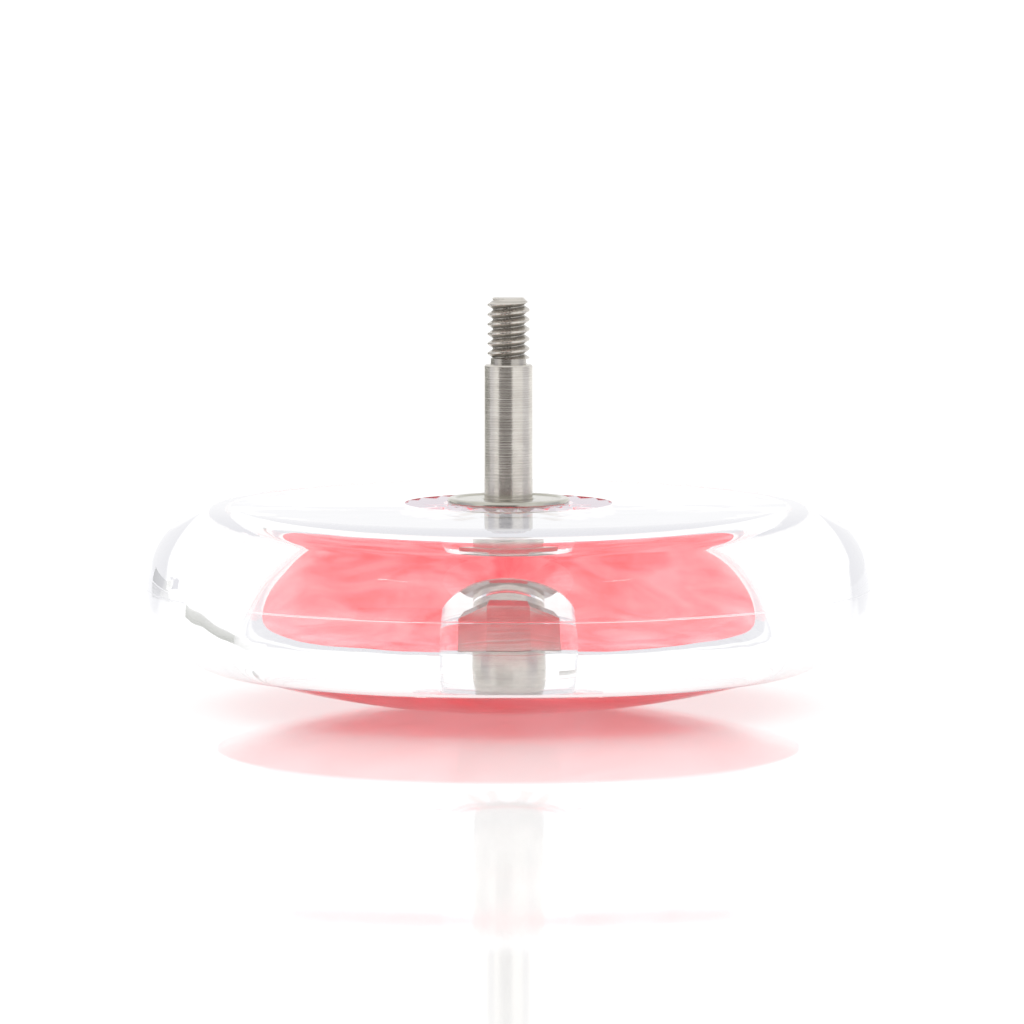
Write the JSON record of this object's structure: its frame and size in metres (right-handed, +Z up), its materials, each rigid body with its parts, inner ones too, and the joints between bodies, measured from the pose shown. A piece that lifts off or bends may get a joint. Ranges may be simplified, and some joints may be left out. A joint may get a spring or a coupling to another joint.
{
  "type": "yo-yo half",
  "caption": "Half of a take-apart clear plastic yo-yo: round solid rim, hub, snap-in side cap, steel axle with threaded end and a loose thrust washer.",
  "frame": {"origin": "crown of the side cap's dome on the axle's line, where the part stands", "axes": "+Z up along the axle towards its threaded end; X and Y across the disc"},
  "size_m": [0.0594, 0.0594, 0.0336],
  "materials": {
    "clear_plastic": "polished clear moulded plastic",
    "red_plastic": "translucent glossy moulded plastic",
    "axle_steel": "turned, with fine tool marks",
    "washer_steel": "turned ring, bright edge"
  },
  "bodies": {
    "cap": {"side_cap": "red_plastic"},
    "half": {"clear_half": "clear_plastic", "axle": "axle_steel"},
    "washer": {"thrust_washer": "washer_steel"}
  },
  "joints": [
    {"name": "cap_release", "type": "slide", "parent": "cap", "child": "half", "axis": [0, 0, 1], "range_m": [0, 0.012]},
    {"name": "washer_spin", "type": "hinge", "parent": "half", "child": "washer", "pos_m": [0, 0, 0.0169], "axis": [0, 0, 1], "continuous": true}
  ]
}
